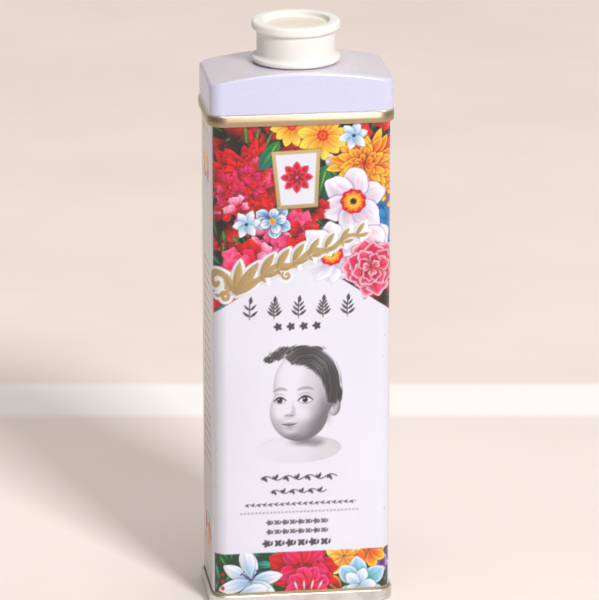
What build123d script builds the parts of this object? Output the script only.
"""A talcum powder tin: a three-piece tinplate can with a twist sifter closure.

Millimetres, +Z up. The origin is on the floor, at the centre of the tin's footprint.
X runs across the wide front, Y from front (-Y) to back, and the side seam is on the
-X narrow side. The sheet-metal pieces are folded round each other in two double seams.
The closure is a plastic plug snapped into the shoulder, with a dial that turns on it.
"""

import os

from build123d import *

os.makedirs("parts", exist_ok=True)

# ---------------------------------------------------------------- tin
body_width = 54.0          # X, over the sleeve's flat faces
body_depth = 30.5          # Y
corner_radius = 4.5        # outside radius of the sleeve's upright corners
plate = 0.28               # tinplate thickness
fold_gap = 0.04            # left between folded layers
seam_height = 3.7          # both double seams
tin_height = 154.5         # floor to the top of the upper seam
hook_clearance = 0.3       # past the free end of the sleeve's hooks
compound_void = 0.7        # past the free end of the end's and shoulder's hooks

# ---------------------------------------------------------------- side seam
lock_width = 4.5           # folded lock, against the inside of the sleeve
lock_layers = 3            # layers of plate that the fold adds
lock_centre_y = 8.3
lock_root = plate / 2      # the lock's block runs this far into the wall it joins
lock_end_gap = 1.0         # from the lock's ends to the seams
groove_width = 0.5         # shallow lines outside, where the folds close
groove_depth = 0.12

# ---------------------------------------------------------------- bottom end
emboss_inset = 5.0         # from the chuck wall to the raised middle
emboss_step = 0.6
emboss_corner = 2.0

# ---------------------------------------------------------------- shoulder
shoulder_overhang = 0.5    # past the sleeve, each side
shoulder_corner = 3.6      # outside radius of its upright corners
shoulder_wall = 9.0        # upright height at the narrow ends
arch_rise = 3.1            # how much higher the long edges are in the middle
crown_rise = 0.5           # how much higher the top is halfway from front to back
shoulder_edge = 1.1        # pressed radius between wall and top
seat_radius = 12.0         # flat boss under the closure
seat_boss_depth = 2.0
sifter_hole_radius = 10.3
hole_cut_depth = 3.0       # more than the boss and the sheet together
crown_sweep = 8.0          # degrees of the crown's arc, more than half the depth spans
trim_margin = 1.0          # blank left above the crown, trimmed off by it

# ---------------------------------------------------------------- closure
closure_height = 12.2      # seat to the top of the dial
flange_radius = 13.2
flange_thickness = 1.5
flange_edge = 0.55
foot_fillet = 1.2          # between flange and neck
neck_radius = 11.7
neck_wall = 1.3
deck_thickness = 1.2       # perforated plate across the top of the neck
plug_radius = 10.2
plug_wall = 1.2
plug_depth = 4.6           # below the seat
snap_count = 4             # lugs that hold the plug under the sheet
snap_proud = 0.5
snap_length = 3.0
snap_height = 1.3
snap_taper = 15.0          # degrees
dial_rim_height = 2.8
dial_edge = 0.95           # rounding of the rim
recess_radius = 10.0
recess_depth = 1.6
recess_edge = 0.45
dial_gap = 0.2             # between the dial's underside and the deck
stud_radius = 1.8
stud_fit = 0.05            # radial running clearance
barb_proud = 0.45
barb_height = 1.3
barb_taper = 30.0          # degrees
stud_slit = 0.6            # lets the barb close up as it snaps in
socket_clearance = 0.15    # round the barb, in the blind socket under the deck
socket_wall = 0.9
stop_ring_radius = 9.4     # where the stop peg runs
stop_peg_radius = 0.7
stop_peg_length = 0.55
stop_clearance = 0.1
groove_floor = 0.2         # under the peg's end
dial_travel = 90.0         # degrees, closed to open
sift_hole_radius = 0.9
sift_rows = ((7.9, 5, 17.0), (5.3, 3, 25.0))   # ring radius, holes, degrees apart

# ---------------------------------------------------------------- worked out
half_width = body_width / 2
half_depth = body_depth / 2
pitch = plate + fold_gap
wall_line = -plate / 2                       # sheet centrelines, out from the sleeve's face
cover_hook_line = wall_line + pitch
body_hook_line = wall_line + 2 * pitch
seaming_line = wall_line + 3 * pitch
chuck_line = wall_line - pitch
tight_bend = (body_hook_line - wall_line) / 2 - 0.01
wide_bend = tight_bend + pitch

body_foot = plate / 2 + pitch
body_head = tin_height - plate / 2 - pitch
panel_line = seam_height - plate / 2
upper_seam_foot = tin_height - seam_height

shoulder_width = body_width + 2 * shoulder_overhang
shoulder_depth = body_depth + 2 * shoulder_overhang
shoulder_base = tin_height - plate
seat_height = tin_height + shoulder_wall + arch_rise + crown_rise
arch_radius = ((shoulder_width / 2) ** 2 + arch_rise ** 2) / (2 * arch_rise)
crown_radius = ((shoulder_depth / 2) ** 2 + crown_rise ** 2) / (2 * crown_rise)

dial_top = seat_height + closure_height
dial_underside = dial_top - dial_rim_height
deck_top = dial_underside - dial_gap
deck_bottom = deck_top - deck_thickness
barb_top = deck_bottom - dial_gap
socket_radius = stud_radius + barb_proud + socket_clearance
socket_floor = barb_top - barb_height - socket_clearance
closed_angle = -90.0                         # the dial's holes face the front when shut
open_angle = closed_angle + dial_travel
peg_angle = closed_angle + 180.0

# The outline that both seams follow: the sleeve's outside face, from the back's middle.
with BuildLine(Plane.XY) as outline:
    Polyline(
        (0, half_depth),
        (half_width, half_depth),
        (half_width, -half_depth),
        (-half_width, -half_depth),
        (-half_width, half_depth),
        close=True,
    )
    square_corners = outline.vertices().filter_by(lambda vertex: abs(vertex.X) > half_width / 2)
    fillet(square_corners, radius=corner_radius)

# Sheet sections are drawn here: local x points out of the tin, local y points up.
section_plane = Plane(origin=(0, half_depth, 0), x_dir=(0, 1, 0), z_dir=(1, 0, 0))


def save(piece, name):
    """Label a finished piece and write it out."""
    piece.label = name
    export_step(piece, f"parts/{name}.step")


# ---------------------------------------------------------------- tin_body
# The sleeve: one wall, flanged outwards and folded back at both ends.
with BuildPart() as tin_body:
    with BuildSketch(section_plane):
        with BuildLine():
            FilletPolyline(
                (body_hook_line, seam_height - plate - hook_clearance),
                (body_hook_line, body_foot),
                (wall_line, body_foot),
                (wall_line, body_head),
                (body_hook_line, body_head),
                (body_hook_line, upper_seam_foot + plate + hook_clearance),
                radius=tight_bend,
            )
        trace(line_width=plate)
    sweep(path=outline.wire())
    # The lock's folded layers lie against the inside of the -X wall.
    lock_thickness = lock_layers * plate + lock_root
    lock_middle_x = -half_width + plate - lock_root + lock_thickness / 2
    with BuildSketch(Plane.XY.offset(seam_height + lock_end_gap)):
        with Locations((lock_middle_x, lock_centre_y)):
            Rectangle(lock_thickness, lock_width)
    extrude(amount=tin_height - 2 * (seam_height + lock_end_gap))
    # Two lines show outside, one along each edge of the lock.
    with BuildSketch(Plane.XY.offset(seam_height)):
        with Locations((-half_width, lock_centre_y)):
            with GridLocations(0, lock_width, 1, 2):
                Rectangle(2 * groove_depth, groove_width)
    extrude(amount=tin_height - 2 * seam_height, mode=Mode.SUBTRACT)
save(tin_body.part, "tin_body")

# ---------------------------------------------------------------- bottom_end
# A pressed tray: chuck wall inside the sleeve, panel held up off the floor, rim folded
# round the sleeve's foot. The tin rests on the rim's lower edge.
panel_join = chuck_line - 1.0
panel_corner = corner_radius + panel_join

with BuildPart() as bottom_end:
    with BuildSketch(section_plane):
        with BuildLine():
            FilletPolyline(
                (panel_join, panel_line),
                (chuck_line, panel_line),
                (chuck_line, plate / 2),
                (seaming_line, plate / 2),
                (seaming_line, panel_line),
                (cover_hook_line, panel_line),
                (cover_hook_line, body_foot + plate / 2 + compound_void),
                radius=(tight_bend, wide_bend, wide_bend, tight_bend, tight_bend),
            )
        trace(line_width=plate)
    sweep(path=outline.wire())
    with BuildSketch(Plane.XY.offset(seam_height - plate)):
        RectangleRounded(body_width + 2 * panel_join, body_depth + 2 * panel_join, panel_corner)
    extrude(amount=plate)
    # The middle is raised, which stiffens the panel.
    raised_width = body_width + 2 * (panel_join - emboss_inset)
    raised_depth = body_depth + 2 * (panel_join - emboss_inset)
    with BuildSketch(Plane.XY.offset(seam_height)):
        RectangleRounded(raised_width, raised_depth, emboss_corner)
    extrude(amount=emboss_step)
    with BuildSketch(Plane.XY.offset(seam_height - plate)):
        RectangleRounded(
            raised_width - 2 * plate, raised_depth - 2 * plate, emboss_corner - plate
        )
    extrude(amount=emboss_step, mode=Mode.SUBTRACT)
save(bottom_end.part, "bottom_end")


# ---------------------------------------------------------------- shoulder
def arched_former(inset):
    """A block whose top carries the shoulder's double curve, lowered by inset."""
    with BuildPart(mode=Mode.PRIVATE) as former:
        with BuildSketch(Plane.XZ):
            with BuildLine():
                apex = seat_height - inset
                drop = arch_radius - (arch_radius ** 2 - shoulder_width ** 2) ** 0.5
                arc = ThreePointArc(
                    (-shoulder_width, apex - drop), (0, apex), (shoulder_width, apex - drop)
                )
                Polyline(
                    arc @ 1,
                    (shoulder_width, upper_seam_foot),
                    (-shoulder_width, upper_seam_foot),
                    arc @ 0,
                )
            make_face()
        crown_axis = Axis((0, 0, seat_height - crown_radius), (1, 0, 0))
        revolve(axis=crown_axis, revolution_arc=crown_sweep)
        mirror(about=Plane.XZ)
    return former.part


def shoulder_block(inset):
    """The shoulder's outside shape as a solid, moved inwards by inset."""
    with BuildPart(mode=Mode.PRIVATE) as block:
        with BuildSketch(Plane.XY.offset(shoulder_base)):
            RectangleRounded(
                shoulder_width - 2 * inset, shoulder_depth - 2 * inset, shoulder_corner - inset
            )
        extrude(amount=seat_height + trim_margin - shoulder_base)
        add(arched_former(inset), mode=Mode.INTERSECT)
        fillet(block.faces().sort_by(Axis.Z)[-1].edges(), radius=shoulder_edge - inset)
        with BuildSketch(Plane.XY.offset(seat_height - inset)):
            Circle(seat_radius - inset)
        extrude(amount=-seat_boss_depth)
    return block.part


shoulder_outside = shoulder_block(0)
shoulder_inside = shoulder_block(plate)

with BuildPart() as shoulder:
    add(shoulder_outside)
    add(shoulder_inside, mode=Mode.SUBTRACT)
    # The rim turns out over the sleeve's flange, down outside it and up behind its hook.
    with BuildSketch(section_plane):
        with BuildLine():
            FilletPolyline(
                (0, tin_height - plate / 2),
                (seaming_line, tin_height - plate / 2),
                (seaming_line, upper_seam_foot + plate / 2),
                (cover_hook_line, upper_seam_foot + plate / 2),
                (cover_hook_line, body_head - plate / 2 - compound_void),
                radius=(wide_bend, tight_bend, tight_bend),
            )
        trace(line_width=plate)
    sweep(path=outline.wire())
    with BuildSketch(Plane.XY.offset(seat_height)):
        Circle(sifter_hole_radius)
    extrude(amount=-hole_cut_depth, mode=Mode.SUBTRACT)
save(shoulder.part, "shoulder")


# ---------------------------------------------------------------- sealing compound
def compound_ring(low, high):
    """Rubbery sealing compound in the void past a hook's end, from low to high."""
    with BuildPart(mode=Mode.PRIVATE) as ring:
        with BuildSketch(section_plane):
            with Locations((cover_hook_line, (low + high) / 2)):
                Rectangle(plate - fold_gap, high - low)
        sweep(path=outline.wire())
    return ring.part


with BuildPart() as bottom_seam_compound:
    compound_foot = body_foot + plate / 2 + fold_gap
    add(compound_ring(compound_foot, compound_foot + compound_void - 2 * fold_gap))
save(bottom_seam_compound.part, "bottom_seam_compound")

with BuildPart() as upper_seam_compound:
    compound_head = body_head - plate / 2 - fold_gap
    add(compound_ring(compound_head - compound_void + 2 * fold_gap, compound_head))
save(upper_seam_compound.part, "upper_seam_compound")


# ---------------------------------------------------------------- closure
def sift_holes(facing):
    """The cluster of powder holes, drawn in the current sketch, centred on an angle."""
    for ring_radius, hole_count, spacing in sift_rows:
        first = facing - spacing * (hole_count - 1) / 2
        with PolarLocations(ring_radius, hole_count, first, spacing * hole_count):
            Circle(sift_hole_radius)


with BuildPart() as sifter_base:
    # One turned section: plug, flange, neck, deck, and the stud's closed socket under it.
    with BuildSketch(Plane.XZ):
        with BuildLine():
            Polyline(
                (plug_radius - plug_wall, seat_height - plug_depth),
                (plug_radius, seat_height - plug_depth),
                (plug_radius, seat_height),
                (flange_radius, seat_height),
                (flange_radius, seat_height + flange_thickness),
                (neck_radius, seat_height + flange_thickness),
                (neck_radius, deck_top),
                (stud_radius + stud_fit, deck_top),
                (stud_radius + stud_fit, deck_bottom),
                (socket_radius, deck_bottom),
                (socket_radius, socket_floor),
                (0, socket_floor),
                (0, socket_floor - socket_wall),
                (socket_radius + socket_wall, socket_floor - socket_wall),
                (socket_radius + socket_wall, deck_bottom),
                (neck_radius - neck_wall, deck_bottom),
                (neck_radius - neck_wall, seat_height + flange_thickness),
                (plug_radius - plug_wall, seat_height + flange_thickness),
                close=True,
            )
        make_face()
    revolve(axis=Axis.Z)
    circles = sifter_base.edges().filter_by(GeomType.CIRCLE)
    foot = circles.filter_by(
        lambda edge: abs(edge.radius - neck_radius) < 0.01 and edge.center().Z < deck_bottom
    )
    fillet(foot, radius=foot_fillet)
    flange_rim = sifter_base.edges().filter_by(GeomType.CIRCLE).filter_by(
        lambda edge: abs(edge.radius - flange_radius) < 0.01
    )
    fillet(flange_rim, radius=flange_edge)
    # Lugs just under the sheet keep the plug in its hole.
    with BuildSketch(Plane.XY.offset(seat_height - plate - stop_clearance)):
        with PolarLocations(plug_radius, snap_count, 45):
            Rectangle(2 * snap_proud, snap_length)
    extrude(amount=-snap_height, taper=snap_taper)
    with BuildSketch(Plane.XY.offset(deck_top)):
        sift_holes(open_angle)
    extrude(amount=-deck_thickness, mode=Mode.SUBTRACT)
    # The dial's peg runs in this groove, and its ends are the stops.
    with BuildSketch(Plane.XY.offset(deck_top)):
        SlotArc(
            CenterArc((0, 0), stop_ring_radius, peg_angle, dial_travel),
            2 * (stop_peg_radius + stop_clearance),
        )
    extrude(amount=-(stop_peg_length - dial_gap + groove_floor), mode=Mode.SUBTRACT)
save(sifter_base.part, "sifter_base")

with BuildPart() as twist_dial:
    with BuildSketch(Plane.XZ):
        with BuildLine():
            Polyline(
                (0, dial_underside),
                (flange_radius, dial_underside),
                (flange_radius, dial_top),
                (recess_radius, dial_top),
                (recess_radius, dial_top - recess_depth),
                (0, dial_top - recess_depth),
                close=True,
            )
        make_face()
    revolve(axis=Axis.Z)
    rim = twist_dial.edges().filter_by(
        lambda edge: edge.geom_type == GeomType.CIRCLE and edge.radius > flange_radius - 0.01
    )
    fillet(rim, radius=dial_edge)
    recess_ring = twist_dial.edges().filter_by(
        lambda edge: edge.geom_type == GeomType.CIRCLE
        and abs(edge.radius - recess_radius) < 0.01
    )
    fillet(recess_ring, radius=recess_edge)
    # The stud turns in the deck's socket, and its barb catches under the deck.
    with BuildSketch(Plane.XY.offset(dial_underside)):
        Circle(stud_radius)
    extrude(amount=barb_top - dial_underside)
    with BuildSketch(Plane.XY.offset(barb_top)):
        Circle(stud_radius + barb_proud)
    extrude(amount=-barb_height, taper=barb_taper)
    with BuildSketch(Plane.XZ.offset(-stud_radius - barb_proud)):
        with Locations((0, barb_top - barb_height / 2)):
            Rectangle(stud_slit, barb_height + 2 * deck_thickness)
    extrude(amount=2 * (stud_radius + barb_proud), mode=Mode.SUBTRACT)
    with BuildSketch(Plane.XY.offset(dial_underside)):
        with PolarLocations(stop_ring_radius, 1, peg_angle):
            Circle(stop_peg_radius)
    extrude(amount=-stop_peg_length)
    with BuildSketch(Plane.XY.offset(dial_top)):
        sift_holes(closed_angle)
    extrude(amount=-dial_rim_height, mode=Mode.SUBTRACT)
save(twist_dial.part, "twist_dial")
